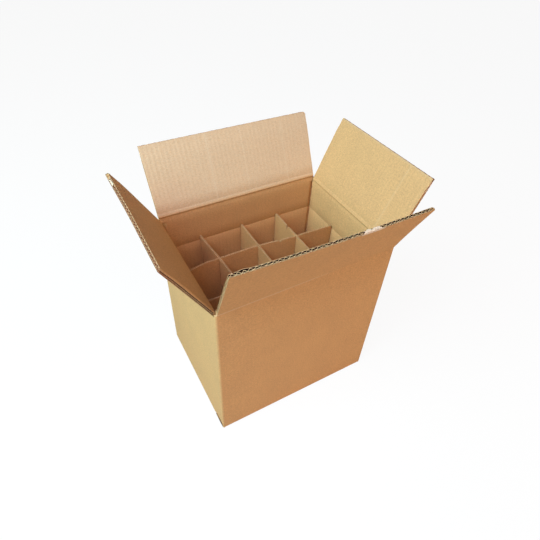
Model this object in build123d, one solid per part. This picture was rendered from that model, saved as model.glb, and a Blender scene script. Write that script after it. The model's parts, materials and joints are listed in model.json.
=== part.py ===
from build123d import *
import os
from math import hypot

# Bottle shipping box: one sheet of double-wall corrugated board, folded and glued into a carton whose
# four top flaps stand open, and a set of slotted strips inside that parts it into bottle cells.
# Millimetres. X runs along the front, Y from front to back, Z up from the floor.
# The origin is the centre of the underside.

# Board: three liners with a fine flute outside and a coarse flute inside
liner = 0.4
medium = 0.3
fine_flute_height = 2.2
fine_flute_pitch = 6.4
coarse_flute_height = 3.1
coarse_flute_pitch = 8.0
board = 3 * liner + fine_flute_height + coarse_flute_height

# Bottle cells, and the walls that the cells fill
long_names = ("front", "back")
cross_names = ("left", "centre", "right")
cell_pitch = 80.0
inner_length = (len(cross_names) + 1) * cell_pitch
inner_width = (len(long_names) + 1) * cell_pitch
outer_length = inner_length + 2 * board
outer_width = inner_width + 2 * board

# Height from the floor to the fold of the front and back flaps
box_height = 337.0

# Folds and flaps: the end flaps fold first, so their crease lies lower by one board,
# and all four are cut off along one line of the flat sheet
fold_gap = 0.4
layer_gap = 0.3
end_fold = box_height - board - layer_gap
flap_seam = 0.5
flap_length = (outer_width - flap_seam) / 2
end_flap_length = flap_length + box_height - end_fold
flap_inset = 3.5
flap_width = outer_length - 2 * flap_inset
end_flap_play = 1.0
end_flap_width = inner_width - 2 * end_flap_play
mouth_depth = 18.0

# How far each top flap leans out from upright, in degrees
front_lean = 21.8
back_lean = 24.1
left_lean = 29.0
right_lean = 23.5

# Folded corners, and the pressed lines around the walls at which the box can be cut down
corner_bevel = 3.0
bottom_bevel = 3.0
upper_score = 71.0
lower_score = 150.0
score_width = 4.0
inner_score_sink = 0.8
outer_score_sink = 0.4

# Glue tab: the sheet's own end, pressed flat, on the inside of the left wall
tab_width = 35.0
tab_thickness = 3.0
tab_end_gap = 20.0
tab_taper = 12.0

# Divider strips
strip_thickness = 3.0
strip_drop = 63.0
strip_end_play = 1.0
slot_play = 0.5
strip_foot = 2 * board
strip_top = box_height - strip_drop
strip_middle = (strip_foot + strip_top) / 2
long_nick_width = 5.0
long_nick_depth = 4.0
long_nick_share = 0.56
cross_nick_width = 6.0
cross_nick_depth = 8.0
cross_nick_share = 0.57

# How far a cutting shape runs past the face that it cuts
overrun = 5.0


def slab(x, y, z):
    """A block between the two values of each pair."""
    size = [high - low for low, high in (x, y, z)]
    return Pos(x[0], y[0], z[0]) * Box(*size, align=(Align.MIN, Align.MIN, Align.MIN))


def bar(points, length):
    """A bar along X, centred, whose section is given as points in Y and Z."""
    section = Face(Wire.make_polygon([(0, y, z) for y, z in points]))
    return Pos(-length / 2, 0, 0) * Solid.extrude(section, (length, 0, 0))


def flute_channels(width, low, height, pitch):
    """The open channels of one flute layer, as triangles on both sides of its zigzag medium."""
    count = int((width - 2 * liner) // pitch)
    start = -count * pitch / 2
    web = medium / 2 * hypot(height, pitch / 2) / height
    tip = height * 2 * web / pitch
    channels = []
    for index in range(count):
        x = start + index * pitch
        under = [(x + web, low), (x + pitch - web, low), (x + pitch / 2, low + height - tip)]
        channels.append(under)
    for index in range(count - 1):
        x = start + (index + 0.5) * pitch
        over = [(x + web, low + height), (x + pitch - web, low + height), (x + pitch / 2, low + tip)]
        channels.append(over)
    return channels


def upright_flap(width, length):
    """A flap standing upright on its crease, which is the X axis, with its outer face at Y zero."""
    mouth = length - mouth_depth
    foot = fold_gap / 2
    plate = bar([(0, foot), (board, foot + board), (board, mouth), (0, mouth)], width)
    channels = flute_channels(width, liner, fine_flute_height, fine_flute_pitch)
    coarse_low = 2 * liner + fine_flute_height
    channels += flute_channels(width, coarse_low, coarse_flute_height, coarse_flute_pitch)
    corners = [(-width / 2, 0), (width / 2, 0), (width / 2, board), (-width / 2, board)]
    rim, *holes = [Wire.make_polygon([(x, y, mouth) for x, y in points]) for points in [corners] + channels]
    edge = Solid.extrude(Face(rim, holes), (0, 0, mouth_depth))
    return plate + edge


# The four walls: the turn that brings the front to each, how far out it stands, its length inside,
# the height of its fold and the length of that fold. The front and back folds run over the corners.
front_turn, back_turn, left_turn, right_turn = 0, 180, -90, 90
walls = (
    (front_turn, outer_width / 2, inner_length, box_height, outer_length + 2 * overrun),
    (back_turn, outer_width / 2, inner_length, box_height, outer_length + 2 * overrun),
    (left_turn, outer_length / 2, inner_width, end_fold, inner_width),
    (right_turn, outer_length / 2, inner_width, end_fold, inner_width),
)


def crease_bevels():
    """What the top folds take off the walls: a mitre inside each, and all that stands above it."""
    inside = board + overrun
    above = box_height - end_fold + overrun
    mitre = [(-overrun, 0), (0, 0), (inside, -inside), (inside, above), (-overrun, above)]
    cuts = []
    for turn, reach, length, fold, fold_length in walls:
        cut = bar(mitre, fold_length)
        cuts.append(Rot(0, 0, turn) * Pos(0, -reach, fold - fold_gap / 2) * cut)
    return cuts


def score_groove(sink, length):
    """A shallow V along X, into a wall whose face is at Y zero."""
    half = score_width / 2
    return bar([(-overrun, -half), (0, -half), (sink, 0), (0, half), (-overrun, half)], length)


def score_grooves():
    """The pressed lines around the walls, outside and inside."""
    cuts = []
    for drop in (upper_score, lower_score):
        z = box_height - drop
        for turn, reach, length, fold, fold_length in walls:
            outside = score_groove(outer_score_sink, length + 2 * board + 2 * overrun)
            inside = score_groove(inner_score_sink, length)
            cuts.append(Rot(0, 0, turn) * Pos(0, -reach, z) * outside)
            cuts.append(Rot(0, 0, turn) * Pos(0, reach - board, z) * inside)
    return cuts


def glue_tab():
    """The tab at the back left corner, tapered to its ends."""
    low = strip_foot + tab_end_gap
    high = end_fold - board - tab_end_gap
    root = inner_width / 2
    edge = root - tab_width
    outline = [(root, low), (edge, low + tab_taper), (edge, high - tab_taper), (root, high)]
    glued = board / 2
    tab = bar(outline, tab_thickness + glued)
    return Pos((tab_thickness - glued - inner_length) / 2, 0, 0) * tab


def box_body():
    """The walls with the closed, glued bottom: front and back flaps below, end flaps upon them."""
    block = slab(
        (-outer_length / 2, outer_length / 2),
        (-outer_width / 2, outer_width / 2),
        (0, box_height - fold_gap / 2),
    )
    block = chamfer(block.edges().filter_by(Axis.Z), corner_bevel)
    block = chamfer(block.edges().group_by(Axis.Z)[0].filter_by(Axis.X), bottom_bevel)
    room = slab(
        (-inner_length / 2, inner_length / 2),
        (-inner_width / 2, inner_width / 2),
        (board, box_height + overrun),
    )
    seam = slab(
        (-outer_length / 2 - overrun, outer_length / 2 + overrun),
        (-flap_seam / 2, flap_seam / 2),
        (-overrun, board),
    )
    body = block - room - seam
    for side in (-1, 1):
        inset = sorted((side * (outer_length / 2 - flap_inset), side * (outer_length / 2 + overrun)))
        body -= slab(inset, (-inner_width / 2, inner_width / 2), (-overrun, board))
        reach = sorted((side * (outer_length / 2 - end_flap_length), side * (inner_length + board) / 2))
        body += slab(reach, (-end_flap_width / 2, end_flap_width / 2), (board, strip_foot))
    return body - crease_bevels() - score_grooves() + glue_tab()


def nick(width, depth, along):
    """A small torn V in a strip's top edge, at a place along the strip."""
    rise = overrun * width / (2 * depth)
    top = width / 2 + rise
    outline = [(-top, overrun), (0, -depth), (top, overrun)]
    cut = bar(outline, strip_thickness + 2 * overrun)
    return Pos(along, 0, strip_top) * Rot(0, 0, 90) * cut


def upright_strip(run, crossings, slots):
    """A strip along X that stands on the bottom flaps, slotted over the range of heights given."""
    half = run / 2 - strip_end_play
    wall = strip_thickness / 2
    strip = slab((-half, half), (-wall, wall), (strip_foot, strip_top))
    gap = wall + slot_play
    for x in crossings:
        strip -= slab((x - gap, x + gap), (-overrun, overrun), slots)
    return strip


def places(names):
    """Where the strips stand, evenly spaced about the centre."""
    return [(index + 1 - (len(names) + 1) / 2) * cell_pitch for index in range(len(names))]


def long_strips():
    """Strips along the box, slotted from the top. The back one has a nick."""
    slots = (strip_middle, strip_top + overrun)
    made = {}
    for name, y in zip(long_names, places(long_names)):
        strip = upright_strip(inner_length, places(cross_names), slots)
        if name == "back":
            strip -= nick(long_nick_width, long_nick_depth, long_nick_share * cell_pitch)
        made["long_divider_" + name] = Pos(0, y, 0) * strip
    return made


def cross_strips():
    """Strips across the box, slotted from the bottom. The right one has a nick."""
    slots = (strip_foot - overrun, strip_middle)
    made = {}
    for name, x in zip(cross_names, places(cross_names)):
        strip = upright_strip(inner_width, places(long_names), slots)
        if name == "right":
            along = inner_width / 2 - cross_nick_share * cell_pitch
            strip -= nick(cross_nick_width, cross_nick_depth, along)
        made["cross_divider_" + name] = Pos(x, 0, 0) * Rot(0, 0, 90) * strip
    return made


def top_flaps():
    """The four flaps, each on its wall and leaning out from its fold."""
    long_flap = Pos(0, -outer_width / 2, box_height), upright_flap(flap_width, flap_length)
    end_flap = Pos(0, -outer_length / 2, end_fold), upright_flap(end_flap_width, end_flap_length)
    leaning = {
        "front_flap": (front_turn, front_lean, long_flap),
        "back_flap": (back_turn, back_lean, long_flap),
        "left_flap": (left_turn, left_lean, end_flap),
        "right_flap": (right_turn, right_lean, end_flap),
    }
    made = {}
    for name, (turn, lean, (fold, flap)) in leaning.items():
        made[name] = Rot(0, 0, turn) * fold * Rot(lean, 0, 0) * flap
    return made


nodes = {"box_body": box_body(), **top_flaps(), **long_strips(), **cross_strips()}

os.makedirs("parts", exist_ok=True)
for node, solid in nodes.items():
    export_step(solid, "parts/" + node + ".step")
    print(node, round(solid.volume), len(solid.faces()))
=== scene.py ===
# %% [markdown]
# # A bottle shipping box
#
# The real object is one sheet of brown double-wall corrugated board, folded and glued into a carton,
# with five slotted strips of thinner board inside that part it into cells for bottles.
# The CAD model gives the places and the folds. This lesson dresses it: the sheet is folded in Blender
# as the maker folds it, the boards get their real paper layers, and the paper gets its fibre and wear.

# %% Load the frame
import json
import math

import bmesh
import bpy
from mathutils import Matrix, Vector, noise


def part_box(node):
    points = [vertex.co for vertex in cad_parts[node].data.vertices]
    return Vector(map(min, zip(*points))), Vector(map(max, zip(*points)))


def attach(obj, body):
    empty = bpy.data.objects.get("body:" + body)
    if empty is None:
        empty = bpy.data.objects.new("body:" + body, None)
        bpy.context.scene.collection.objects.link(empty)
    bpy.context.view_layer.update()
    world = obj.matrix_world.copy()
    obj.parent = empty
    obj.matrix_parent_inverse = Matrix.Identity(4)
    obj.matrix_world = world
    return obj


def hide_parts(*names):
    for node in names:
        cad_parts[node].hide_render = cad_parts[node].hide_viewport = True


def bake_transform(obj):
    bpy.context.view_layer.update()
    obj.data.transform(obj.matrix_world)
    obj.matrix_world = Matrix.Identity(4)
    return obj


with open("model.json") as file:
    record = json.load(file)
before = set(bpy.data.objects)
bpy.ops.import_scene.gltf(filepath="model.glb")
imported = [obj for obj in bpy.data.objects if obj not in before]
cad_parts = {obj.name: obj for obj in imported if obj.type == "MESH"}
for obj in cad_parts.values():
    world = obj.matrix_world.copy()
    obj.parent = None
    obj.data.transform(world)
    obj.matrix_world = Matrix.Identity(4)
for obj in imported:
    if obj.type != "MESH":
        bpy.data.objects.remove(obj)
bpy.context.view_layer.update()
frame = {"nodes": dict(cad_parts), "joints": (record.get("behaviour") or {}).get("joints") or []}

print("nodes:", ", ".join(sorted(frame["nodes"])))

# %% [markdown]
# ## Sizes
#
# Everything is in metres, in the CAD model's own frame: X along the front, Y from front to back, Z up.
# The walls' reach and the folds are read from the frame, so that the looks sit where the solids are.
# The board's layers are the usual ones of this grade: three liners, a fine flute outside and a coarse
# flute inside. A flap's lean comes from its joint, whose lower limit is the flap closed flat.

# %% Read the folds and the flaps from the frame
mm = 0.001
liner = 0.4 * mm
medium = 0.45 * mm
flap_medium = 0.62 * mm
fine_height, fine_pitch = 2.2 * mm, 6.4 * mm
coarse_height, coarse_pitch = 3.1 * mm, 8.0 * mm
board = 3 * liner + fine_height + coarse_height

body_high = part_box("box_body")[1]
reach_x, reach_y = body_high.x, body_high.y
turns = {"left": 180, "front": 270, "right": 0, "back": 90}
folds = {joint["child"].replace("_flap", ""): joint for joint in frame["joints"]}
fold_point = {side: Vector(joint["pos_m"]) for side, joint in folds.items()}
lean = {side: math.radians(-90 - joint["range_deg"][0]) for side, joint in folds.items()}
fold_height = fold_point["front"].z
end_fold = fold_point["left"].z


def is_end(side):
    """True for the two short walls."""
    return side in ("left", "right")


def flap_size(side):
    """Width along the fold and length from fold to free edge, from the flap's solid."""
    low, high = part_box(side + "_flap")
    along, out = (1, 0) if is_end(side) else (0, 1)
    overhang = max(abs(low[out]), abs(high[out])) - abs(fold_point[side][out])
    return high[along] - low[along], overhang / math.sin(lean[side])


for side in turns:
    width, length = flap_size(side)
    angle = math.degrees(lean[side])
    print(f"{side} flap {width / mm:.1f} by {length / mm:.1f} mm, leans {angle:.1f} degrees")

# %% [markdown]
# ## Camera, floor and light
#
# The camera was fitted to the corners of the box in the photograph. It is given by where it stands and
# by the way it faces, as azimuth, elevation and a small roll. The floor and the world show white to the
# camera, and the floor keeps a soft shadow; right under the box it doesn't glow, so that no white shows
# through the bottom's seams. A cool window on the left and a skylight give the bright left-facing sides. Two
# weaker warm lamps and the warm light that the floor throws back reach the front and the inside.

# %% Place the camera
camera_place = Vector((-0.3082, -0.5015, 0.8129))
azimuth, elevation, roll = (math.radians(angle) for angle in (-31.38, 43.85, 3.08))
camera_data = bpy.data.cameras.new("photo_camera")
camera_data.lens = 28.95
camera_data.sensor_width = 36.0
camera_data.clip_start = 0.01
camera = bpy.data.objects.new("photo_camera", camera_data)
bpy.context.scene.collection.objects.link(camera)
bpy.context.scene.camera = camera
backward = Vector((
    math.sin(azimuth) * math.cos(elevation),
    -math.cos(azimuth) * math.cos(elevation),
    math.sin(elevation),
))
level_right = (-backward).cross(Vector((0, 0, 1))).normalized()
level_up = level_right.cross(-backward)
right = math.cos(roll) * level_right + math.sin(roll) * level_up
up = math.cos(roll) * level_up - math.sin(roll) * level_right
axes = Matrix((right, up, backward)).transposed()
camera.matrix_world = Matrix.Translation(camera_place) @ axes.to_4x4()
print("camera", [round(v, 4) for v in camera_place], "lens", camera_data.lens)


# %% Light the scene
def soft_light(name, place, target, size, power, colour):
    """A square area light that faces a point."""
    data = bpy.data.lights.new(name, "AREA")
    data.shape = "SQUARE"
    data.size = size
    data.energy = power
    data.color = colour
    lamp = bpy.data.objects.new(name, data)
    lamp.location = place
    lamp.rotation_euler = (Vector(target) - Vector(place)).to_track_quat("-Z", "Y").to_euler()
    bpy.context.scene.collection.objects.link(lamp)
    return lamp


box_middle = (0, 0, 0.2)
soft_light("window", (-1.55, -0.1, 1.5), box_middle, 1.1, 39, (0.58, 1.0, 1.0))
soft_light("skylight", (-1.0, -0.5, 2.05), box_middle, 1.0, 29, (0.83, 0.77, 1.0))
soft_light("room_lamp", (0.2, -1.5, 2.0), box_middle, 1.2, 16, (1.0, 0.64, 0.48))
soft_light("side_lamp", (0.95, -1.1, 0.2), box_middle, 0.8, 6.2, (1.0, 0.77, 0.5))


# %% Show a white room to the camera
def sums(tree, operation, first, second):
    """A Math node on two sockets or numbers, and its output."""
    node = tree.nodes.new("ShaderNodeMath")
    node.operation = operation
    for value, socket in zip((first, second), node.inputs):
        if isinstance(value, (int, float)):
            socket.default_value = value
        else:
            tree.links.new(value, socket)
    return node.outputs[0]


ambient_strength = 0.01
world = bpy.data.worlds.new("white_room")
bpy.context.scene.world = world
world.use_nodes = True
nodes, links = world.node_tree.nodes, world.node_tree.links
nodes.clear()
rays = nodes.new("ShaderNodeLightPath").outputs
shown = sums(world.node_tree, "MAXIMUM", rays["Is Camera Ray"], rays["Is Glossy Ray"])
shown = sums(world.node_tree, "MAXIMUM", shown, rays["Is Transmission Ray"])
ambient = nodes.new("ShaderNodeBackground")
ambient.inputs["Color"].default_value = (1.0, 0.8, 0.6, 1)
ambient.inputs["Strength"].default_value = ambient_strength
white = nodes.new("ShaderNodeBackground")
white.inputs["Color"].default_value = (1, 1, 1, 1)
white.inputs["Strength"].default_value = 1.0
choose = nodes.new("ShaderNodeMixShader")
links.new(shown, choose.inputs["Fac"])
links.new(ambient.outputs[0], choose.inputs[1])
links.new(white.outputs[0], choose.inputs[2])
links.new(choose.outputs[0], nodes.new("ShaderNodeOutputWorld").inputs["Surface"])
bpy.context.scene.view_settings.view_transform = "Standard"
print("world", world.name, "lights the box at strength", ambient_strength)

# %% Lay the floor
floor_half = 4.0
floor_drop = 0.2 * mm
patch_inset = 3 * mm
floor_bm = bmesh.new()
bmesh.ops.create_grid(floor_bm, x_segments=1, y_segments=1, size=floor_half)
for normal, reach in ((Vector((1, 0, 0)), reach_x), (Vector((0, 1, 0)), reach_y)):
    for way in (-1, 1):
        everything = floor_bm.verts[:] + floor_bm.edges[:] + floor_bm.faces[:]
        edge = way * (reach - patch_inset) * normal
        bmesh.ops.bisect_plane(floor_bm, geom=everything, plane_co=edge, plane_no=normal)
for face in floor_bm.faces:
    middle = face.calc_center_median()
    face.material_index = int(abs(middle.x) < reach_x and abs(middle.y) < reach_y)
floor_mesh = bpy.data.meshes.new("floor")
floor_bm.to_mesh(floor_mesh)
floor_bm.free()
floor = bpy.data.objects.new("floor", floor_mesh)
bpy.context.scene.collection.objects.link(floor)
floor.location.z = -floor_drop
print("floor laid just under the box, in", len(floor_mesh.polygons), "faces")

# %% Paint the floor
matt = 0.9
glow_share = 0.93
floor_paint = bpy.data.materials.new("floor_white")
floor_paint.use_nodes = True
nodes, links = floor_paint.node_tree.nodes, floor_paint.node_tree.links
nodes["Principled BSDF"].inputs["Roughness"].default_value = matt
glow = nodes.new("ShaderNodeEmission")
glow.inputs["Strength"].default_value = 1.0
seen = nodes.new("ShaderNodeLightPath").outputs["Is Camera Ray"]
floor_tone = nodes.new("ShaderNodeMix")
floor_tone.data_type = "RGBA"
floor_tone.inputs["A"].default_value = (0.7, 0.57, 0.52, 1)
floor_tone.inputs["B"].default_value = (0.95, 0.95, 0.95, 1)
links.new(seen, floor_tone.inputs["Factor"])
links.new(floor_tone.outputs["Result"], nodes["Principled BSDF"].inputs["Base Color"])
mix = nodes.new("ShaderNodeMixShader")
links.new(sums(floor_paint.node_tree, "MULTIPLY", seen, glow_share), mix.inputs["Fac"])
links.new(nodes["Principled BSDF"].outputs[0], mix.inputs[1])
links.new(glow.outputs[0], mix.inputs[2])
links.new(mix.outputs[0], nodes["Material Output"].inputs["Surface"])
floor_mesh.materials.append(floor_paint)
shaded_paint = bpy.data.materials.new("floor_under_box")
shaded_paint.use_nodes = True
shaded_paint.node_tree.nodes["Principled BSDF"].inputs["Roughness"].default_value = matt
floor_mesh.materials.append(shaded_paint)
print("floor paints:", [m.name for m in floor_mesh.materials])

# %% [markdown]
# ## Paper finishes
#
# Kraft liner is matt brown paper: long fibres that lie mostly across the flutes, a cloudy mottle, and a
# few dark and pale flecks. Through it the flutes show as faint lines one pitch apart, painted into the
# colour as light and shade and raised as a bump, with random streaks of tone along them. Both effects are
# shader node groups, built once and used by every paper here with its own colour. The fibre reads Object
# coordinates, so that it runs on from piece to piece, and the flute lines read each board's UV map, which
# holds its flat place on the sheet in metres.


# %% Define the node helpers
def new_group(name, inputs, outputs):
    """An empty shader group with named sockets."""
    group = bpy.data.node_groups.new(name, "ShaderNodeTree")
    for socket, kind in inputs:
        group.interface.new_socket(socket, in_out="INPUT", socket_type=kind)
    for socket, kind in outputs:
        group.interface.new_socket(socket, in_out="OUTPUT", socket_type=kind)
    return group, group.nodes.new("NodeGroupInput"), group.nodes.new("NodeGroupOutput")


def cloud(tree, vector, stretch, scale, detail):
    """Noise on coordinates that are stretched first."""
    squeeze = tree.nodes.new("ShaderNodeVectorMath")
    squeeze.operation = "MULTIPLY"
    squeeze.inputs[1].default_value = stretch
    tree.links.new(vector, squeeze.inputs[0])
    texture = tree.nodes.new("ShaderNodeTexNoise")
    texture.inputs["Scale"].default_value = scale
    texture.inputs["Detail"].default_value = detail
    texture.inputs["Roughness"].default_value = 0.6
    tree.links.new(squeeze.outputs[0], texture.inputs["Vector"])
    return texture.outputs["Fac"]


def band(tree, value, low, high):
    """Maps a value's range to 0..1, clamped."""
    node = tree.nodes.new("ShaderNodeMapRange")
    node.inputs["From Min"].default_value = low
    node.inputs["From Max"].default_value = high
    tree.links.new(value, node.inputs["Value"])
    return node.outputs["Result"]


# %% Build the fibre group
fibre, fibre_in, fibre_out = new_group(
    "kraft_fibre",
    [("Coordinates", "NodeSocketVector"), ("Paper", "NodeSocketColor"), ("Contrast", "NodeSocketFloat")],
    [("Color", "NodeSocketColor"), ("Roughness", "NodeSocketFloat"), ("Height", "NodeSocketFloat")],
)
place = fibre_in.outputs["Coordinates"]
strands = cloud(fibre, place, (0.35, 0.35, 1.0), 900, 5)
clouds = cloud(fibre, place, (1.0, 1.0, 0.7), 26, 3)
mottle = cloud(fibre, place, (0.8, 0.8, 1.0), 540, 2)
flecks = cloud(fibre, place, (0.6, 0.6, 1.0), 520, 1)
dark_flecks = band(fibre, flecks, 0.7, 0.78)
pale_flecks = band(fibre, flecks, 0.3, 0.22)
tone = 0.0
for part, weight in ((strands, 0.55), (clouds, 0.16), (mottle, 0.62)):
    tone = sums(fibre, "ADD", tone, sums(fibre, "MULTIPLY", sums(fibre, "SUBTRACT", part, 0.5), weight))
for part, weight in ((dark_flecks, -0.16), (pale_flecks, 0.12)):
    tone = sums(fibre, "ADD", tone, sums(fibre, "MULTIPLY", part, weight))
tone = sums(fibre, "ADD", sums(fibre, "MULTIPLY", tone, fibre_in.outputs["Contrast"]), 1.0)
shade = fibre.nodes.new("ShaderNodeHueSaturation")
fibre.links.new(fibre_in.outputs["Paper"], shade.inputs["Color"])
fibre.links.new(tone, shade.inputs["Value"])
fibre.links.new(shade.outputs["Color"], fibre_out.inputs["Color"])
least_rough, rough_spread = 0.68, 0.18
dryness = sums(fibre, "ADD", sums(fibre, "MULTIPLY", clouds, rough_spread), least_rough)
fibre.links.new(dryness, fibre_out.inputs["Roughness"])
fibre.links.new(sums(fibre, "ADD", strands, flecks), fibre_out.inputs["Height"])
print("group", fibre.name, "with", len(fibre.nodes), "nodes")

# %% Build the flute line group
# Crest paints the flute lines into the colour as faint light and shade, and also raises the bump; Streak is
# random tone.
flutes, flutes_in, flutes_out = new_group(
    "flute_lines",
    [("Flat Place", "NodeSocketVector"), ("Pitch", "NodeSocketFloat")],
    [("Crest", "NodeSocketFloat"), ("Streak", "NodeSocketFloat")],
)
split = flutes.nodes.new("ShaderNodeSeparateXYZ")
flutes.links.new(flutes_in.outputs["Flat Place"], split.inputs[0])
wander = cloud(flutes, flutes_in.outputs["Flat Place"], (1.0, 0.15, 1.0), 60, 2)
turn = sums(flutes, "DIVIDE", split.outputs["X"], flutes_in.outputs["Pitch"])
turn = sums(flutes, "ADD", turn, sums(flutes, "MULTIPLY", wander, 0.5))
wave = sums(flutes, "SINE", sums(flutes, "MULTIPLY", turn, math.tau), 0.0)
flutes.links.new(sums(flutes, "ADD", sums(flutes, "MULTIPLY", wave, 0.5), 0.5), flutes_out.inputs["Crest"])
streaks = cloud(flutes, flutes_in.outputs["Flat Place"], (1.0, 0.03, 1.0), 240, 2)
flutes.links.new(streaks, flutes_out.inputs["Streak"])
print("group", flutes.name, "with", len(flutes.nodes), "nodes")

# %% [markdown]
# Each finish is a Principled shader with the two groups in front of it. The colours are what the paper
# shows in plain light, except the fluted paper's, which is painted dark as shade for the shadow between
# the flutes. A board has three of them: its liner, that fluted paper inside, and the cream of a fresh cut.
# An attribute painted on the mesh makes the liner paler where it is scuffed and streaked, and paints a
# highlight on the flaps' inner faces, most on the back one. It turns the cut edges brown, and paints light
# on the dark fluted paper where a flap's free edge is lit.


# %% Define a paper
paper_shine = 0.25
grain_lift = 0.25
flute_lift = 0.5
bump_depth = 0.4 * mm


def paint(red, green, blue):
    """A colour as picked on screen, turned into the shader's linear values."""
    return tuple(((c / 255 + 0.055) / 1.055) ** 2.4 for c in (red, green, blue)) + (1.0,)


def paper(name, colour, contrast, pitch=None, shade_line_strength=0.0, relief=0.12, wear_and_light_colour=None):
    """Paper with fibre; with flute lines, painted light and shade and a bump, where it covers flutes; and
    with the attribute's marks and painted light where a colour for them is given.
    """
    material = bpy.data.materials.new(name)
    material.use_nodes = True
    tree = material.node_tree
    shader = tree.nodes["Principled BSDF"]
    shader.inputs["Specular IOR Level"].default_value = paper_shine
    spot = tree.nodes.new("ShaderNodeTexCoord")
    grain = tree.nodes.new("ShaderNodeGroup")
    grain.node_tree = fibre
    grain.inputs["Paper"].default_value = colour
    grain.inputs["Contrast"].default_value = contrast
    tree.links.new(spot.outputs["Object"], grain.inputs["Coordinates"])
    tree.links.new(grain.outputs["Roughness"], shader.inputs["Roughness"])
    hue, height = grain.outputs["Color"], sums(tree, "MULTIPLY", grain.outputs["Height"], grain_lift)
    # The flute lines: painted light and shade in the colour, and a bump.
    if pitch:
        lines = tree.nodes.new("ShaderNodeGroup")
        lines.node_tree = flutes
        lines.inputs["Pitch"].default_value = pitch
        tree.links.new(spot.outputs["UV"], lines.inputs["Flat Place"])
        streaked = sums(tree, "SUBTRACT", lines.outputs["Streak"], 0.5)
        lift = sums(tree, "ADD", lines.outputs["Crest"], sums(tree, "MULTIPLY", streaked, 2.0))
        lift = sums(tree, "SUBTRACT", lift, 0.5)
        lift = sums(tree, "ADD", sums(tree, "MULTIPLY", lift, shade_line_strength), 1.0)
        shade = tree.nodes.new("ShaderNodeHueSaturation")
        tree.links.new(hue, shade.inputs["Color"])
        tree.links.new(lift, shade.inputs["Value"])
        hue = shade.outputs["Color"]
        height = sums(tree, "ADD", height, sums(tree, "MULTIPLY", lines.outputs["Crest"], flute_lift))
    if wear_and_light_colour:
        wear = tree.nodes.new("ShaderNodeAttribute")
        wear.attribute_name = "wear"
        wear_and_light_mix = tree.nodes.new("ShaderNodeMix")
        wear_and_light_mix.data_type = "RGBA"
        wear_and_light_mix.inputs["B"].default_value = wear_and_light_colour
        patchy = sums(tree, "ADD", sums(tree, "MULTIPLY", grain.outputs["Height"], 0.8), 0.2)
        tree.links.new(sums(tree, "MULTIPLY", wear.outputs["Fac"], patchy), wear_and_light_mix.inputs["Factor"])
        tree.links.new(hue, wear_and_light_mix.inputs["A"])
        hue = wear_and_light_mix.outputs["Result"]
    tree.links.new(hue, shader.inputs["Base Color"])
    bump = tree.nodes.new("ShaderNodeBump")
    bump.inputs["Strength"].default_value = relief
    bump.inputs["Distance"].default_value = bump_depth
    tree.links.new(height, bump.inputs["Height"])
    tree.links.new(bump.outputs["Normal"], shader.inputs["Normal"])
    return material


# %% Make the papers
kraft = paint(206, 161, 109)
strip_kraft = paint(200, 153, 101)
fresh_cut = paint(214, 182, 136)
# A pale paper colour for scuffs and streaks, and for the painted highlight on the flaps' inner faces.
pale_wear_and_highlight = paint(240, 226, 199)
torn_white = paint(216, 196, 172)
# Brown for the cut edges, and painted light for the dark fluted paper where a free edge is lit.
edge_brown_and_flute_light = paint(176, 116, 82)
liner_finish = paper("kraft_inside", kraft, 1.0, coarse_pitch, 0.022, 0.16, pale_wear_and_highlight)
outer_finish = paper("kraft_outside", kraft, 1.0, fine_pitch, 0.012, 0.12, pale_wear_and_highlight)
# The fluted paper is painted dark: painted shade for the shadow between the flutes and inside the board.
flute_shade_finish = paper("fluted_paper", paint(64, 42, 27), 0.8, wear_and_light_colour=edge_brown_and_flute_light)
cut_finish = paper("cut_paper_edge", fresh_cut, 1.0, wear_and_light_colour=edge_brown_and_flute_light)
strip_flute_finish = paper("divider_flute", paint(196, 155, 106), 0.8)
strip_pitch = 4.0 * mm
strip_finish = paper("divider_liner", strip_kraft, 1.0, strip_pitch, 0.02, 0.16, pale_wear_and_highlight)
torn_finish = paper("torn_fibre", torn_white, 1.2, relief=0.5)
board_papers = [liner_finish, flute_shade_finish, cut_finish, outer_finish, torn_finish]
strip_papers = [strip_finish, strip_flute_finish, cut_finish]
LINER, FLUTE, CUT, OUTSIDE, TORN = range(len(board_papers))
print("papers:", [m.name for m in board_papers + strip_papers[:2]])

# %% [markdown]
# ## Working with sheets
#
# Every board here is a stack of paper sheets, so a few helpers do most of the work. A sheet starts as a
# grid that stands upright, is cut with bisect_plane where it needs more rows, and gets the paper's
# thickness with solidify. The flat place of every point goes into the UV map before anything is bent,
# because that is what the flute lines follow. A sheet's cut rim takes the cream of the cut paper.


# %% Ease from one value to another
def smooth_step(value, low, high):
    """0 below low, 1 above high, and an easy slope between."""
    share = min(1.0, max(0.0, (value - low) / (high - low)))
    return share * share * (3 - 2 * share)


def hump(value, middle, half):
    """1 at the middle, and 0 beyond half to either side."""
    return 1 - smooth_step(abs(value - middle), 0, half)


# %% Lay and cut a sheet
def standing_grid(bm, left, right, low, high, columns, rows, depth=0.0):
    """A flat upright grid that faces outwards, at a depth inside the board. Gives its faces."""
    place = (
        Matrix.Translation(((left + right) / 2, depth, (low + high) / 2))
        @ Matrix.Rotation(math.pi / 2, 4, "X")
        @ Matrix.Diagonal((right - left, high - low, 1, 1))
    )
    made = bmesh.ops.create_grid(bm, x_segments=columns, y_segments=rows, size=0.5, matrix=place)
    return list({face for vert in made["verts"] for face in vert.link_faces})


def cut_at(bm, axis, places):
    """Cuts the whole mesh along one axis at each place."""
    normal = Vector((axis == "x", axis == "y", axis == "z"))
    for spot in places:
        everything = bm.verts[:] + bm.edges[:] + bm.faces[:]
        bmesh.ops.bisect_plane(bm, geom=everything, plane_co=normal * spot, plane_no=normal)


def drop_faces(bm, unwanted):
    """Deletes the faces whose middle the test names, with the points that only they use."""
    lost = [face for face in bm.faces if unwanted(face.calc_center_median())]
    bmesh.ops.delete(bm, geom=lost, context="FACES")


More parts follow.
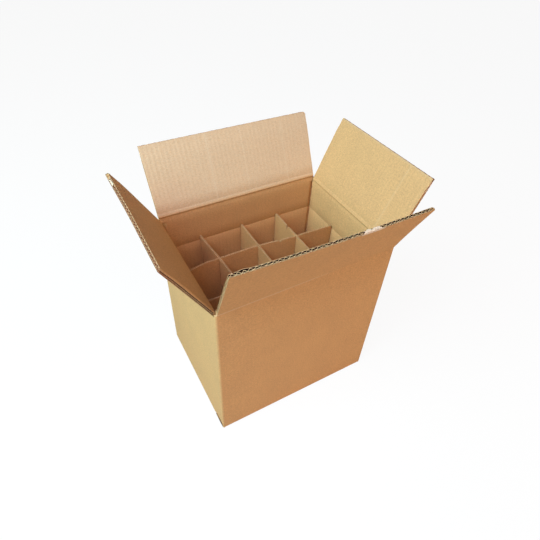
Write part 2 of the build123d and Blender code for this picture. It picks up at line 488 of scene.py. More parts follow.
# %% Thicken and stack sheets
def note_flat_place(bm, across=0):
    """Keeps every point's place on the flat sheet in the UV map, from one axis across and from Z."""
    flat = bm.loops.layers.uv.verify()
    for face in bm.faces:
        for loop in face.loops:
            loop[flat].uv = (loop.vert.co[across], loop.vert.co.z)


def close_sheet(bm, thickness):
    """Gives a crumpled sheet its thickness, with its faces outwards."""
    bmesh.ops.solidify(bm, geom=bm.faces[:], thickness=thickness)
    bmesh.ops.recalc_face_normals(bm, faces=bm.faces[:])


def thicken(bm, thickness, outer_paper, inner_paper):
    """Gives a flat sheet its thickness, marks its papers and notes its flat place."""
    outer_faces = set(bm.faces)
    made = bmesh.ops.solidify(bm, geom=bm.faces[:], thickness=thickness)
    inner_faces = {item for item in made["geom"] if isinstance(item, bmesh.types.BMFace)} - outer_faces
    rim = 0
    for face in bm.faces:
        if face in outer_faces:
            face.material_index = outer_paper
        elif face in inner_faces and abs(face.normal.y) > 0.3:
            face.material_index = inner_paper
        else:
            face.material_index = CUT
            rim += 1
    bmesh.ops.recalc_face_normals(bm, faces=bm.faces[:])
    note_flat_place(bm)
    return rim


def stack(sheets):
    """Joins sheets, each a bmesh of its own, into one bmesh."""
    whole = bmesh.new()
    for sheet in sheets:
        page = bpy.data.meshes.new("page")
        sheet.to_mesh(page)
        sheet.free()
        whole.from_mesh(page)
        bpy.data.meshes.remove(page)
    return whole


# %% Finish a piece
def paint_wear_and_light(bm, rule):
    """Stores how worn each point is, and how much light is painted on it, from 0 to 1."""
    layer = bm.verts.layers.float.new("wear")
    for vert in bm.verts:
        vert[layer] = rule(vert.co)


def no_wear(co):
    """Clean paper."""
    return 0.0


def make_piece(name, bm, papers, sharp=40):
    """Turns a bmesh into a piece with smooth faces, and edges that stay sharp past an angle."""
    for face in bm.faces:
        face.smooth = True
    for edge in bm.edges:
        if len(edge.link_faces) == 2 and edge.calc_face_angle(0) > math.radians(sharp):
            edge.smooth = False
    mesh = bpy.data.meshes.new(name)
    bm.to_mesh(mesh)
    bm.free()
    for finish in papers:
        mesh.materials.append(finish)
    piece = bpy.data.objects.new(name, mesh)
    bpy.context.scene.collection.objects.link(piece)
    triangles = sum(len(polygon.vertices) - 2 for polygon in mesh.polygons)
    print(f"{name}: {len(mesh.vertices)} points, {triangles} triangles")
    return piece


# %% [markdown]
# ## The carton's walls and bottom
#
# The real carton starts as a flat blank: left wall, front, right wall, back and a glue tab in a row, with
# the bottom flaps hanging below. So does this one. A long grid is the blank, the slots are cut out of it,
# solidify gives it the board's thickness, and one function then folds it: round the corners, and at the
# bottom inwards. Where the board is creased it is pressed thin, which leaves the shallow valleys that show
# inside the corners. Building the box from a cube would need all of that carved in afterwards.

# %% Lay out the blank
corner_round = 4.0 * mm
tab_round = 3.0 * mm
bottom_round = 3.0 * mm
tab_width = 35.0 * mm
tab_reach = (33.0 * mm, 303.7 * mm)
tab_taper = 12.0 * mm
flap_meeting = 0.1 * mm
end_flap_width = 238.0 * mm
end_flap_reach = 133.0 * mm
seam_gap = 0.3 * mm
fold_room = 1.0 * mm
end_flap_lift = 1.2 * mm
corner_slot_top = 0.5 * mm
quarter = math.pi / 2


def outward(side):
    """The way that a wall faces."""
    angle = math.radians(turns[side])
    return Vector((math.cos(angle), math.sin(angle)))


def reach_of(side):
    """How far a wall's outer face lies from the middle."""
    return reach_x if is_end(side) else reach_y


def onward(side):
    """The way that the blank runs along a wall."""
    out = outward(side)
    return Vector((-out.y, out.x))


runs = []
place = 0.0
order = ["left", "front", "right", "back"]
for index, side in enumerate(order):
    half = reach_y if is_end(side) else reach_x
    begin = -half + (seam_gap if side == "left" else corner_round)
    end = half - (board + tab_round if side == "back" else corner_round)
    runs.append({"kind": "wall", "side": side, "first": place, "last": place + end - begin, "begin": begin})
    place += end - begin
    bend = tab_round if side == "back" else corner_round
    arc = quarter * bend
    following = order[(index + 1) % len(order)]
    turn = {"kind": "bend", "side": side, "next": following, "round": bend}
    runs.append({**turn, "first": place, "last": place + arc})
    place += arc
runs.append({"kind": "tab", "side": "left", "first": place, "last": place + tab_width})
blank_length = place + tab_width
for run in runs:
    run["middle"] = (run["first"] + run["last"]) / 2
print(f"blank {blank_length / mm:.0f} mm long in {len(runs)} runs")


# %% Find what is cut away from the blank
def run_at(s):
    """The run of the blank that a place along it lies in. A border between two belongs to the wall."""
    touch = 0.001 * mm
    fits = [run for run in runs if run["first"] - touch <= s <= run["last"] + touch]
    return next((run for run in fits if run["kind"] == "wall"), fits[0])


def bottom_fold(side):
    """Height of a wall's lower face after its bottom fold: the end flaps lie on the long ones."""
    return end_flap_lift if is_end(side) else 0.0


def flap_drop(side):
    """How far the blank runs below a wall's bottom bend."""
    inwards = end_flap_reach if is_end(side) else reach_y - flap_meeting
    return quarter * bottom_round + inwards - bottom_round


def blank_waste(middle):
    """True where the blank is cut away, at a face's middle."""
    run, z = run_at(middle.x), middle.z
    if run["kind"] == "bend":
        return z < corner_slot_top
    if run["kind"] == "tab":
        inset = tab_taper * (middle.x - run["first"]) / tab_width
        return not tab_reach[0] + inset < z < tab_reach[1] - inset
    start = bottom_fold(run["side"]) + bottom_round
    if z < start - flap_drop(run["side"]):
        return True
    if is_end(run["side"]):
        if z > end_fold - fold_room:
            return True
        off_flap = abs(middle.x - run["middle"]) > end_flap_width / 2
        return z < start and off_flap
    return False


# %% Cut and thicken the blank
upper_score = fold_height - 71.0 * mm
lower_score = fold_height - 150.0 * mm
score_half = 2.0 * mm
crease_run = 8.0 * mm
column_step = 2.0 * mm
valley_columns = [step * mm for step in (3, 6, 8, 9, 10)]
blank_low = min(bottom_fold(side) + bottom_round - flap_drop(side) for side in order)
blank_top = fold_height - fold_room
blank = bmesh.new()
standing_grid(blank, 0, blank_length, blank_low, blank_top, round(blank_length / column_step), 10)
heights = [tab_reach[0], tab_reach[1], corner_slot_top, end_fold - fold_room]
for score in (upper_score, lower_score):
    heights += [score + step * score_half for step in (-1, -0.5, 0, 0.5, 1)]
for top in (blank_top, end_fold - fold_room):
    heights += [top - crease_run * share for share in (3.0, 2.5, 2.0, 1.5, 1.0, 0.8, 0.6, 0.4, 0.2)]
for side in ("left", "front"):
    start = bottom_fold(side) + bottom_round
    heights += [start + crease_run * share for share in (1.0, 0.5, 0.0)]
    heights += [start - quarter * bottom_round * share for share in (0.25, 0.5, 0.75, 1.0)]
    heights += [start - flap_drop(side), start - quarter * bottom_round - crease_run]
cut_at(blank, "z", sorted({round(z, 6) for z in heights if blank_low < z < blank_top}))
columns = []
for run in runs:
    columns += [run["first"], run["last"]]
    if run["kind"] == "bend":
        columns += [run["first"] + (run["last"] - run["first"]) * share for share in (0.25, 0.5, 0.75)]
        columns += [run["first"] - step for step in valley_columns]
        columns += [run["last"] + step for step in valley_columns]
    if run["kind"] == "wall" and is_end(run["side"]):
        columns += [run["middle"] - end_flap_width / 2, run["middle"] + end_flap_width / 2]
cut_at(blank, "x", sorted({round(s, 6) for s in columns if 0 < s < blank_length}))
drop_faces(blank, blank_waste)
rim = thicken(blank, board, OUTSIDE, LINER)
print("blank cut:", len(blank.faces), "faces,", rim, "of them on its rim")

# %% [markdown]
# Now the fold. Each point of the flat blank has a place along it, a depth in the board and a height. The
# pressed function gives the depth that is left at creases, corners and score lines, and folded gives the
# place in the carton. The top folds are pressed hardest, to a mitre, so that a flap's foot has room to turn.

# %% Press the creases
corner_press = 0.52
fold_press = 0.34
hinge_press = 0.12
corner_valley = 9.0 * mm
corner_bead = 0.7 * mm
tab_thickness = 2.8 * mm
rounding_depth, rounding_run = 2.0 * mm, 24 * mm
inner_score, outer_score = 0.7 * mm, 0.16 * mm
washboard_height = 0.05 * mm
bends = [run for run in runs if run["kind"] == "bend"]
print(f"top folds pressed to {hinge_press * board / mm:.1f} mm of {board / mm:.1f} mm")


def washboard(x):
    """The slight waves of a liner over the coarse flutes."""
    return washboard_height * math.sin(math.tau * x / coarse_pitch)


def crease_thickness(distance, press):
    """What is left of the board's thickness at a distance from a pressed fold, as a share."""
    return press + (1 - press) * smooth_step(distance, 0.3 * mm, crease_run)


def crease_sink(distance):
    """How far the inner face rounds away towards a top fold, at a distance below it."""
    return rounding_depth * max(0.0, 1 - distance / rounding_run) ** 3


def pressed(s, depth, z, run):
    """The depth of a point once the creases, corners and score lines are pressed in."""
    share = depth / board
    side = run["side"]
    top = end_fold if is_end(side) and run["kind"] == "wall" else fold_height
    press = hinge_press if run["kind"] == "wall" else fold_press
    thickness = board * crease_thickness(max(0.0, top - z), press)
    if run["kind"] == "tab":
        return share * tab_thickness
    gap = min(max(bend["first"] - s, s - bend["last"], 0.0) for bend in bends)
    groove = corner_press + (1 - corner_press) * smooth_step(gap, 0.5 * mm, corner_valley - 1.5 * mm)
    bead = corner_bead * hump(gap, corner_valley - 2 * mm, 4 * mm)
    thickness = min(thickness, board * groove + bead)
    if run["kind"] == "wall":
        start = bottom_fold(side) + bottom_round
        below = max(0.0, z - start, start - quarter * bottom_round - z)
        thickness = min(thickness, board * crease_thickness(below, fold_press))
    inner_sink = crease_sink(max(crease_run, top - z)) * thickness / board
    outer_sink = 0.0
    for score in (upper_score, lower_score):
        inner_sink += inner_score * hump(z, score, score_half)
        outer_sink += outer_score * hump(z, score, score_half)
    outer = outer_sink + 0.6 * washboard(s)
    inner = thickness - inner_sink + washboard(s)
    return outer + share * (inner - outer)


# %% Let the walls give
dent_length, dent_depth = 34.0 * mm, 2.6 * mm
wall_bulge = 0.8 * mm
print(f"walls bulge by {wall_bulge / mm:.1f} mm, and one foot is dented by {dent_depth / mm:.1f} mm")


def foot_dent(side, along, z):
    """How far the left wall's foot is knocked in near the front corner."""
    if side != "left":
        return 0.0
    share = smooth_step(along, reach_y - dent_length - 6 * mm, reach_y - dent_length + 4 * mm)
    share *= 1 - smooth_step(along, reach_y - 7 * mm, reach_y - 2 * mm)
    return dent_depth * share * (1 - smooth_step(z, 4 * mm, 13 * mm))


def wall_bow(run, s, z):
    """How far a wall bulges outwards between its folds."""
    along = (s - run["first"]) / (run["last"] - run["first"])
    rise = min(1.0, max(0.0, z / fold_height))
    return wall_bulge * math.sin(math.pi * along) * math.sin(math.pi * rise)


# %% Fold the blank
flap_gap = 0.2 * mm
tab_gap = 0.1 * mm
step_run = 12 * mm


def tuck_under(depth, z, side):
    """Bends a wall's lower end inwards. Gives the distance in from the wall and the height."""
    start = bottom_fold(side) + bottom_round
    drop = start - z
    arc = quarter * bottom_round
    if drop <= 0:
        return depth, z
    if drop < arc:
        angle = drop / bottom_round
        radius = bottom_round - depth
        return bottom_round - radius * math.cos(angle), start - radius * math.sin(angle)
    inwards = bottom_round + drop - arc
    rise = 0.0
    if is_end(side):
        rise = (board + flap_gap - bottom_fold(side)) * smooth_step(inwards, bottom_round, step_run)
    return inwards, bottom_fold(side) + depth + rise


def on_wall(side, inside, along, height):
    """The place at a depth behind a wall's outer face, along the wall and at a height."""
    spot = outward(side) * (reach_of(side) - inside) + onward(side) * along
    return Vector((spot.x, spot.y, height))


def folded(point):
    """Where a point of the flat blank lies on the folded carton."""
    s, depth, z = point
    run = run_at(s)
    side = run["side"]
    depth = pressed(s, depth, z, run)
    if run is bends[-1] and not tab_reach[0] <= z <= tab_reach[1]:
        share = (s - run["first"]) / (run["last"] - run["first"])
        along = reach_x - board - tab_round + share * (tab_round - seam_gap)
        return on_wall(side, depth, along, z)
    if run["kind"] == "bend":
        bend = run["round"]
        angle = (s - run["first"]) / bend
        corner = outward(side) * (reach_of(side) - bend)
        if run is bends[-1]:
            corner += onward(side) * (reach_x - board - bend)
        else:
            corner += outward(run["next"]) * (reach_of(run["next"]) - bend)
        spot = corner + (bend - depth) * (outward(side) * math.cos(angle) + onward(side) * math.sin(angle))
        return Vector((spot.x, spot.y, z))
    if run["kind"] == "tab":
        along = -reach_y + tab_round + (s - run["first"])
        return on_wall(side, board + tab_gap + depth, along, z)
    along = run["begin"] + s - run["first"]
    inside, height = tuck_under(depth, z, side)
    inside += foot_dent(side, along, max(0.0, z))
    inside -= wall_bow(run, s, z) if z > bottom_fold(side) + bottom_round else 0.0
    return on_wall(side, inside, along, height)


for vert in blank.verts:
    vert.co = folded(vert.co)
print("blank folded:", len(blank.verts), "points")

# %% Add the loose liner and finish the walls
loose_thickness = 0.35 * mm
loose_tuck, loose_hollow = 5.0 * mm, 0.4 * mm
loose_start = 2 * mm
loose_profile = [(0.0, 0.3), (0.5, 0.2), (0.85, 0.2), (0.98, 0.5), (1.0, 1.2), (1.0, 2.0), (0.97, 2.8)]


def loose_liner():
    """The outer liner that stays behind where the left wall's foot is dented, with a gap between; one side
    of it takes the dark fluted paper, painted shade for the shadow in the gap.
    """
    strip = bmesh.new()
    rows = len(loose_profile) - 1
    shaded_gap_faces = set(standing_grid(strip, 0, 1, 0, 1, 34, rows))
    for vert in strip.verts:
        share, row = vert.co.x, round(vert.co.z * rows)
        out, height = loose_profile[row]
        tuck = loose_tuck * (1 - out)
        vert.co.x = -reach_x + tuck + loose_hollow * (1 - math.sin(math.pi * share))
        vert.co.y = -reach_y + loose_start + dent_length * share
        vert.co.z = height * mm * (1 + 0.15 * noise.noise(Vector((share * 9, row, 0))))
    close_sheet(strip, loose_thickness)
    for face in strip.faces:
        face.material_index = FLUTE if face in shaded_gap_faces else OUTSIDE
    note_flat_place(strip, across=1)
    return strip


blank = stack([blank, loose_liner()])
paint_wear_and_light(blank, no_wear)
walls = make_piece("carton_walls", blank, board_papers)
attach(walls, "box")
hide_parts("box_body")

# %% [markdown]
# ## The top flaps
#
# A flap is the same board, cut free at the corners. Its free edge is the part that tells what it is made
# of: three liners with two rows of open flutes between them. So a flap is built as five sheets, and the
# two fluted ones are grids whose points follow a sine wave before they get their thickness. At its foot the
# board is pressed thin for the fold. The board is first made upright and flat, then worn and given its
# painted light, and then turned to its lean at the fold that the joint gives.

# %% Build the layered board
liner_step = 1.0 * mm
hidden_step = 4.0 * mm
flute_columns = 10
rag_depth = 0.35 * mm
flute_recess = 0.3 * mm
edge_touch = 0.1 * mm
foot_rows = [crease_run * share for share in (0.15, 0.3, 0.45, 0.6, 0.8, 1.0)]
layers = [
    ("liner", 0.0, liner),
    ("flute", liner, fine_height, fine_pitch),
    ("liner", liner + fine_height, liner),
    ("flute", 2 * liner + fine_height, coarse_height, coarse_pitch),
    ("liner", board - liner, liner),
]


def ragged(x, z, layer):
    """A small unevenness of a cut edge, different in each paper."""
    return noise.noise(Vector((x * 160, layer * 7.3, z * 20))) * rag_depth


def flap_sheets(width, length):
    """A flap's five papers, upright on its fold, which is the X axis, with the outer face at zero depth."""
    sheets = []
    rim_rows = [length - step * mm for step in (20, 12, 8, 5, 3, 1.5)]
    for number, (kind, depth, *size) in enumerate(layers):
        sheet = bmesh.new()
        if kind == "liner":
            is_hidden = 0 < number < len(layers) - 1
            columns = round(width / (hidden_step if is_hidden else liner_step))
            standing_grid(sheet, -width / 2, width / 2, fold_room, length, columns, 5, depth)
            cut_at(sheet, "z", foot_rows + rim_rows)
            # The hidden liners take the fluted paper too, with its painted shade.
            outer_paper = OUTSIDE if number == 0 else FLUTE
            inner_paper = LINER if number == len(layers) - 1 else FLUTE
            thicken(sheet, size[0], outer_paper, inner_paper)
        else:
            height, pitch = size
            columns = round(width / pitch * flute_columns)
            standing_grid(sheet, -width / 2, width / 2, fold_room, length, columns, 5, depth + height / 2)
            cut_at(sheet, "z", foot_rows + rim_rows)
            swing = (height - flap_medium) / 2
            for vert in sheet.verts:
                phase = vert.co.x / pitch + 0.12 * noise.noise(Vector((vert.co.x * 70, number, 0)))
                vert.co.y += swing * math.sin(math.tau * phase) - flap_medium / 2
            thicken(sheet, flap_medium, FLUTE, FLUTE)
        for vert in sheet.verts:
            if vert.co.z > length - edge_touch:
                vert.co.z += ragged(vert.co.x, 0, number) - (flute_recess if kind == "flute" else 0)
            if abs(vert.co.x) > width / 2 - edge_touch:
                vert.co.x += 2 * ragged(0, vert.co.z * 8, number)
        sheets.append(sheet)
    return sheets


# %% Press and close the board
pinch_press, pinch_run = 0.75, 1.5 * mm
rim_crush = 0.6
crush_start, crush_end = 32 * mm, 2 * mm
side_zone, rim_zone = 5 * mm, 6 * mm
closed_ends = {"left": (-1, 18 * mm), "front": (1, 8 * mm), "back": (1, 0.0), "right": (1, 0.0)}
print("free edges lose", f"{rim_crush * (liner + fine_height) / mm:.1f} mm of {board / mm:.1f} mm")


def press_board(bm, side, width, length):
    """Presses the board thin at its fold and pinched sides, and crushes the fine flutes at its free edge."""
    for vert in bm.verts:
        if vert.co.y > board - liner - 0.01 * mm:
            vert.co.y += washboard(vert.co.x)
        side_gap = width / 2 - abs(vert.co.x)
        is_pinched = side == "front" or (side == "left" and vert.co.x > 0)
        pinch = pinch_press + (1 - pinch_press) * smooth_step(side_gap, 0, pinch_run) if is_pinched else 1.0
        crush = rim_crush * smooth_step(vert.co.z, length - crush_start, length - crush_end)
        vert.co.y -= crush * min(max(0.0, vert.co.y), liner + fine_height)
        vert.co.y *= min(pinch, crease_thickness(vert.co.z, hinge_press))


def close_sides(bm, side, width, length):
    """Shows plain liner paper instead of the fluted paper's painted shade at the die-cut sides and worn
    tips, where the liners hide the flutes.
    """
    end, reach = closed_ends[side]
    for face in bm.faces:
        middle = face.calc_center_median()
        stays_open = side == "left" and middle.x > 0
        at_side = abs(middle.x) > width / 2 - side_zone and middle.z < length - rim_zone
        at_tip = end * middle.x > width / 2 - reach
        if face.material_index == FLUTE and (at_tip or at_side and not stays_open):
            face.material_index = LINER


# %% [markdown]
# The flaps have had knocks. On the front flap a stretch of the free edge is torn and shows pale fibre, its
# inner liner lifts near the left end, its right corner is blunt, and its free edge sags outwards. The left
# flap's back corner is frayed and drawn out, and its flutes are crushed shut. The back flap has one corner
# a little blunt and the other drawn out. Each knock is a small function on the flat board, where places
# along the fold and heights above it are plain numbers.

# %% Bend and blunt the board
corner_flatten = 0.45
lift_in, lift_up, lift_run = 1.1 * mm, 0.7 * mm, 20 * mm
front_sag = (0.0, 4.9 * mm, 6.0 * mm)
print("front flap sags by", [round(sag / mm, 1) for sag in front_sag], "mm along its free edge")


def blunt(sheets, width, length, end, radius):
    """Rounds a free corner and closes its flutes."""
    middle = Vector((end * (width / 2 - radius), length - radius))
    for sheet in sheets:
        for vert in sheet.verts:
            off = Vector((vert.co.x, vert.co.z)) - middle
            if off.x * end <= 0 or off.y <= 0:
                continue
            reach = max(abs(off.x), off.y)
            vert.co.x, vert.co.z = middle + off * (reach / off.length)
            flatten = 1 - corner_flatten * smooth_step(reach, 0, radius)
            vert.co.y = board / 2 + (vert.co.y - board / 2) * flatten


def lift_liner(sheets, length, middle, half):
    """Pulls the inner liner off its flutes along a stretch of the free edge."""
    for vert in sheets[-1].verts:
        pull = hump(vert.co.x, middle, half) * smooth_step(vert.co.z, length - lift_run, length)
        vert.co.y += lift_in * pull
        vert.co.z += lift_up * pull


def draw_out(sheets, width, length, end, along, beyond):
    """Pulls a free corner out of square, as a bent flap is."""
    for sheet in sheets:
        for vert in sheet.verts:
            share = smooth_step(end * vert.co.x, 0, width / 2) * max(0.0, vert.co.z / length)
            vert.co.x += end * along * share
            vert.co.z += beyond * share


def sag_outwards(bm, width, length):
    """Bends the front flap's free edge outwards, each end and the middle by its own amount."""
    first, middle, last = front_sag
    for vert in bm.verts:
        along = 2 * vert.co.x / width
        amount = middle + along * (last - first) / 2 + along * along * ((first + last) / 2 - middle)
        vert.co.y -= amount * max(0.0, vert.co.z / length) ** 1.5


# %% Tear and crush the free edges
fibre_thickness = 0.25 * mm
plug_depth = 1.6 * mm
flake_lift, flake_crumple, flake_droop = 0.5 * mm, 0.7 * mm, 1.6 * mm
print(f"torn fibre is {fibre_thickness / mm:.2f} mm thick")


def torn_fibre(length, middle, half, low, high):
    """A ragged, crumpled flake of torn paper that lies over the free edge, between two depths."""
    flake = bmesh.new()
    place = Matrix.Translation((middle, (low + high) / 2, length))
    place @= Matrix.Diagonal((2 * half, high - low, 1, 1))
    bmesh.ops.create_grid(flake, x_segments=60, y_segments=8, size=0.5, matrix=place)
    for vert in flake.verts:
        x, y, z = vert.co
        across = (y - low) / (high - low)
        fray = noise.noise(Vector((x * 180, 2.0, 0))) + 0.6 * noise.noise(Vector((x * 520, 5.0, 0)))
        taper = 1 - smooth_step(abs(x - middle), 0.5 * half, half)
        vert.co.y = low + across * (high - low) * max(0.12, taper * (0.75 + 0.45 * fray))
        crumple = noise.noise(Vector((x * 260, y * 420, 1.0)))
        droop = flake_droop * (1 - smooth_step(across, 0, 0.3))
        vert.co.z += flake_lift + flake_crumple * crumple - droop
    close_sheet(flake, fibre_thickness)
    for face in flake.faces:
        face.material_index = TORN
    note_flat_place(flake)
    return flake


def crushed_rim(width, length):
    """Crushed fibre that closes the flutes of a worn free edge, just below the papers' rims."""
    plug = bmesh.new()
    place = Matrix.Translation((0, board / 2, length - plug_depth))
    place @= Matrix.Diagonal((width - 2 * mm, board - 2 * liner, 1, 1))
    bmesh.ops.create_grid(plug, x_segments=250, y_segments=10, size=0.5, matrix=place)
    for vert in plug.verts:
        vert.co.z += plug_depth * noise.noise(Vector((vert.co.x * 300, vert.co.y * 500, 3.0)))
    close_sheet(plug, fibre_thickness)
    # The plug takes the dark fluted paper: painted shade below the rim.
    for face in plug.faces:
        face.material_index = FLUTE
    return plug


# %% Give each flap its own knocks
torn_middle_share, torn_half = 0.148, 20.0 * mm


def knock_about(side, sheets, width, length):
    """The knocks that one flap has had."""
    if side == "front":
        lift_liner(sheets, length, -width / 2 + 20 * mm, 12 * mm)
        blunt(sheets, width, length, 1, 5 * mm)
        draw_out(sheets, width, length, 1, 0.5 * mm, 0.5 * mm)
        sheets.append(torn_fibre(length, torn_middle_share * width, torn_half, -0.8 * mm, 8.4 * mm))
    if side == "left":
        sheets.append(crushed_rim(width, length))
        sheets.append(torn_fibre(length, -width / 2 + 31 * mm, 10 * mm, 2.2 * mm, 6.8 * mm))
        blunt(sheets, width, length, -1, 5 * mm)
        draw_out(sheets, width, length, -1, 0.8 * mm, 5 * mm)
        draw_out(sheets, width, length, 1, 0.8 * mm, 2 * mm)
    if side == "back":
        blunt(sheets, width, length, -1, 4 * mm)
        draw_out(sheets, width, length, 1, 2 * mm, 0.0)


# %% Say how worn each flap is, and where light is painted on it
highlight_low, highlight_high = 1 * mm, 11 * mm
# The inner faces' share of pale paper is a painted highlight, mostly on the back flap, that is weakest at
# the fold.
inner_highlight = {"left": 0.0, "front": 0.0, "right": 0.02, "back": 0.44}
pale_streaks = {
    "back": ((0.145, 0.16), (0.2, 0.05), (-0.06, 0.08), (-0.32, 0.12)),
    "right": ((-0.3, 0.08),),
}
streak_half, streak_wander = 2.5 * mm, 1.5 * mm
rub_low, rub_high = 0.5 * mm, 4 * mm
# How strongly each free edge is marked: scuffed liners, browned cut edges, and painted light on the dark
# fluted paper; none on the front flap, whose flutes keep their painted shade.
rim_wear_and_light = {"left": 0.55, "front": 0.0, "right": 0.5, "back": 0.5}


def flap_wear_and_light(side, width, length):
    """How worn a flap is, and where light is painted on it: its inner face has a painted highlight that
    grows away from the fold, and pale streaks; near the free edge its liners are scuffed, its cut edges turn
    brown, and its dark fluted paper is painted lighter where the edge is lit.
    """
    def rule(co):
        pale_and_highlight = inner_highlight[side] * smooth_step(co.z, highlight_low, highlight_high)
        for share, strength in pale_streaks.get(side, ()):
            wander = streak_wander * noise.noise(Vector((co.z * 30, share * 50, 0)))
            pale_and_highlight += strength * hump(co.x, share * width + wander, streak_half)
        side_gap = width / 2 - abs(co.x)
        rim_gap = length - co.z
        on_face = co.y < 0.6 * liner or co.y > board - 1.6 * liner
        edge_wear_and_light = rim_wear_and_light[side] * (1 - smooth_step(rim_gap, 10 * mm, 40 * mm))
        if side == "left":
            edge_wear_and_light *= smooth_step(co.x, 8 * mm - width / 2, 18 * mm - width / 2)
        if on_face:
            edge_wear_and_light *= 0.3 * (1 - smooth_step(rim_gap, rub_low, rub_high))
        elif side_gap < 2 * mm:
            edge_wear_and_light += 0.12
        if side == "front" and co.y < board / 2:
            torn = hump(co.x, torn_middle_share * width, torn_half)
            edge_wear_and_light += 1.2 * torn * (1 - smooth_step(rim_gap, rub_low, rub_high))
        return min(1.0, max(pale_and_highlight if co.y > board / 2 else 0.0, edge_wear_and_light))
    return rule


# %% Stand the flaps on their folds
def onto_fold(side):
    """The turn and place that bring an upright board to its fold."""
    turn = Matrix.Rotation(math.radians(turns[side] - turns["front"]), 4, "Z")
    return turn @ Matrix.Translation((0, -reach_of(side), fold_point[side].z))


for side in turns:
    width, length = flap_size(side)
    flap_layers = flap_sheets(width, length)
    knock_about(side, flap_layers, width, length)
    flap_bm = stack(flap_layers)
    paint_wear_and_light(flap_bm, flap_wear_and_light(side, width, length))
    close_sides(flap_bm, side, width, length)
    press_board(flap_bm, side, width, length)
    if side == "front":
        sag_outwards(flap_bm, width, length)
    leaning = onto_fold(side) @ Matrix.Rotation(lean[side], 4, "X")
    bmesh.ops.transform(flap_bm, matrix=leaning, verts=flap_bm.verts[:])
    flap = make_piece(side + "_flap_board", flap_bm, board_papers)
    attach(flap, side + "_flap")
    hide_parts(side + "_flap")

# %% [markdown]
# ## The creases
#
# At each fold the liners run on from wall to flap and bend to the flap's lean. Each crease is a piece
# of its own: a thin ribbon outside, and one inside that fills the pressed valley.

# %% Shape the crease ribbons
ribbon_reach = 9.0 * mm
ribbon_proud = 0.06 * mm
ribbon_thickness = 0.3 * mm
ribbon_rows = 30
tuck_depth, tuck_run = 0.25 * mm, 2 * mm
fold_half = 1.5 * mm
print(f"ribbons reach {ribbon_reach / mm:.0f} mm to both sides of a fold")


def ribbon_point(depth, rise, side):
    """A point of a ribbon: below the fold it lies on the wall, above it on the leaning flap."""
    tilt = lean[side] * smooth_step(rise, -fold_half, fold_half)
    return depth * math.cos(tilt) - rise * math.sin(tilt), rise * math.cos(tilt) + depth * math.sin(tilt)


def crease_ribbons(side):
    """The inner and outer liner over one fold, in the flap's own upright frame."""
    width = flap_size(side)[0]
    sheets = []
    for inside in (False, True):
        sheet = bmesh.new()
        columns = round(width / (2 * mm))
        standing_grid(sheet, -width / 2, width / 2, -ribbon_reach, ribbon_reach, columns, ribbon_rows)
        thicken(sheet, ribbon_thickness, OUTSIDE, LINER)
        for face in sheet.faces:
            if face.material_index == CUT:
                face.material_index = LINER
        for vert in sheet.verts:
            rise = vert.co.z
            lower = vert.co.y < ribbon_thickness / 2
            tuck = tuck_depth * smooth_step(abs(rise), ribbon_reach - tuck_run, ribbon_reach)
            if not inside:
                base = tuck - ribbon_proud + (0 if lower else ribbon_thickness)
            elif lower:
                base = board * crease_thickness(abs(rise), hinge_press) * 0.9
            else:
                sink = crease_sink(max(0.0, -rise)) * (1 - smooth_step(rise, 0, fold_half))
                base = board + ribbon_proud - tuck - sink
            depth, height = ribbon_point(base, rise, side)
            vert.co = Vector((vert.co.x, depth, height))
        sheets.append(sheet)
    return stack(sheets)


# %% Place the creases on their folds
bend_half = 3 * mm
bend_depth = board / 3


def crease_wear_and_highlight(side):
    """How worn a ribbon is, with painted light: inside the same painted highlight as its flap, outside
    scuffed pale along the front fold's left half.
    """
    def rule(co):
        tilt = lean[side] if co.z > 0 else 0.0
        depth = co.y * math.cos(tilt) + co.z * math.sin(tilt)
        if depth > board / 2:
            return inner_highlight[side] * smooth_step(co.z, highlight_low, highlight_high)
        if side != "front":
            return 0.0
        return 0.5 * hump(co.z, 0, 1.3 * mm) * (1 - smooth_step(co.x, -20 * mm, 60 * mm))
    return rule


for side in turns:
    crease_bm = crease_ribbons(side)
    paint_wear_and_light(crease_bm, crease_wear_and_highlight(side))
    place = onto_fold(side)
    bmesh.ops.transform(crease_bm, matrix=place, verts=crease_bm.verts[:])
    crease = make_piece(side + "_crease", crease_bm, board_papers)
    start = place @ Vector((0, bend_depth, -bend_half))
    end = place @ Vector((0, *ribbon_point(bend_depth, bend_half, side)))
    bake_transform(crease)

# %% [markdown]
# ## The divider
#
# Two long strips and three cross strips of single-wall board slot into each other, halfway up, and make
# twelve cells. A strip is three sheets: two liners and a flute between. The slots are cut out of the flat
# grids. In the photograph the strips don't stand quite straight: the back long strip bows, and the left
# cross strip leans over at the back. One smooth function moves all five together, so that they stay locked.

# %% Build the slotted strips
strip_thickness = 3.0 * mm
strip_liner = 0.35 * mm
slot_half = 2.0 * mm
strip_recess = 0.25 * mm
nick_shoulder = 1.2 * mm
long_low, long_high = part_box("long_divider_back")
strip_foot, strip_top = long_low.z, long_high.z
strip_middle = (strip_foot + strip_top) / 2
nick_rows = 12.0 * mm
nicks = {
    "long_divider_back": (44.8 * mm, 5.0 * mm, 4.0 * mm),
    "cross_divider_right": (74.4 * mm, 6.0 * mm, 8.0 * mm),
}


def nick_depth(x, nick):
    """How far a nick and its rounded shoulders lower a strip's top edge."""
    middle, width, depth = nick
    off = abs(x - middle)
    return depth * max(0.0, 1 - 2 * off / width) + nick_shoulder * (1 - smooth_step(off, 0, 2 * width))


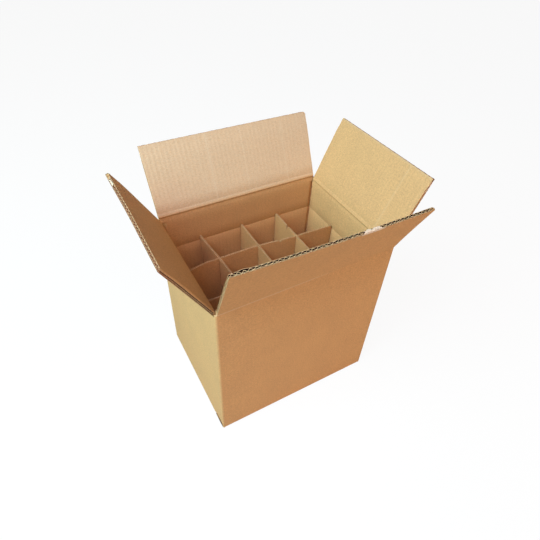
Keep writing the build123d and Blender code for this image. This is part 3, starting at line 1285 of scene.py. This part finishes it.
def strip_sheets(half, crossings, slot_low, slot_high, nick=None):
    """A strip along X, upright and centred, with its slots cut, and a nick torn out of its top edge."""
    sheets = []
    heart = strip_thickness - 2 * strip_liner
    for number, depth in enumerate((-strip_thickness / 2, 0.0, strip_thickness / 2 - strip_liner)):
        is_flute = number == 1
        columns = round(2 * half / strip_pitch * 8) if is_flute else round(2 * half / (2 * mm))
        sheet = bmesh.new()
        standing_grid(sheet, -half, half, strip_foot, strip_top, columns, 8, depth)
        cut_at(sheet, "z", [strip_middle, strip_top - 2 * mm, strip_top - 6 * mm, strip_top - nick_rows])
        if nick:
            cut_at(sheet, "x", [nick[0] + nick[1] * share for share in (-0.5, -0.25, 0, 0.25, 0.5)])
        cut_at(sheet, "x", [x + edge for x in crossings for edge in (-slot_half, slot_half)])
        drop_faces(sheet, lambda middle: slot_low < middle.z < slot_high
                   and any(abs(middle.x - x) < slot_half for x in crossings))
        if is_flute:
            for vert in sheet.verts:
                swing = (heart - medium) / 2
                vert.co.y = swing * math.sin(math.tau * vert.co.x / strip_pitch) - medium / 2
        face_paper = FLUTE if is_flute else LINER
        thicken(sheet, medium if is_flute else strip_liner, face_paper, face_paper)
        for vert in sheet.verts:
            if vert.co.z > strip_top - edge_touch:
                vert.co.z += ragged(vert.co.x, 0.5, number + 10) - (strip_recess if is_flute else 0)
            if nick:
                share = max(0.0, 1 - (strip_top - vert.co.z) / nick_rows)
                vert.co.z -= share * nick_depth(vert.co.x, nick)
        sheets.append(sheet)
    return stack(sheets)


# %% Find where the strips cross
def strip_places(names):
    """The crossing places of the strips named, along the axis that they are spaced on."""
    axis = 1 if names[0].startswith("long") else 0
    return [sum(corner[axis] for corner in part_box(name)) / 2 for name in names]


long_names = ["long_divider_front", "long_divider_back"]
cross_names = ["cross_divider_left", "cross_divider_centre", "cross_divider_right"]
long_places, cross_places = strip_places(long_names), strip_places(cross_names)
print("long strips at y", [round(y, 3) for y in long_places])
print("cross strips at x", [round(x, 3) for x in cross_places])

# %% Stand the strips, with their bends
back_bow, right_fall, end_fall = 7.0 * mm, 8.5 * mm, 2.5 * mm
front_lean, back_lean, centre_lean = 1.0 * mm, 9.5 * mm, 2.4 * mm
left_rise = 4.5 * mm


def sway(co):
    """How the set of strips gives way, the same for all of them."""
    x, y, z = co
    back_row = smooth_step(y, -40 * mm, 40 * mm) * (1 - smooth_step(y, 60 * mm, 118 * mm))
    bow = back_bow - right_fall * smooth_step(x, -20 * mm, 90 * mm)
    bow -= end_fall * smooth_step(x, 80 * mm, 160 * mm)
    bow *= smooth_step(x, -160 * mm, -100 * mm)
    left_column = 1 - smooth_step(x, -80 * mm, 0)
    left_column *= smooth_step(x, -158 * mm, -90 * mm)
    lean_left = -front_lean - back_lean * smooth_step(y, 0, 125 * mm)
    middle_column = smooth_step(x, -80 * mm, 0) * (1 - smooth_step(x, 120 * mm, 158 * mm))
    rise = left_rise * left_column * smooth_step(y, 40 * mm, 119 * mm)
    up_share = (z - strip_foot) / (strip_top - strip_foot)
    return Vector((
        x + up_share * (left_column * lean_left - middle_column * centre_lean),
        y + up_share * back_row * bow,
        z + up_share * rise,
    ))


for name in long_names + cross_names:
    low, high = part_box(name)
    if name in long_names:
        strip_bm = strip_sheets(high.x, cross_places, strip_middle, strip_top + mm, nicks.get(name))
        onto = Matrix.Translation((0, (low.y + high.y) / 2, 0))
    else:
        strip_bm = strip_sheets(high.y, long_places, strip_foot - mm, strip_middle, nicks.get(name))
        onto = Matrix.Translation(((low.x + high.x) / 2, 0, 0)) @ Matrix.Rotation(quarter, 4, "Z")
    paint_wear_and_light(strip_bm, no_wear)
    bmesh.ops.transform(strip_bm, matrix=onto, verts=strip_bm.verts[:])
    for vert in strip_bm.verts:
        vert.co = sway(vert.co)
    strip = make_piece(name + "_strip", strip_bm, strip_papers)
    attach(strip, "box")
    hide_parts(name)
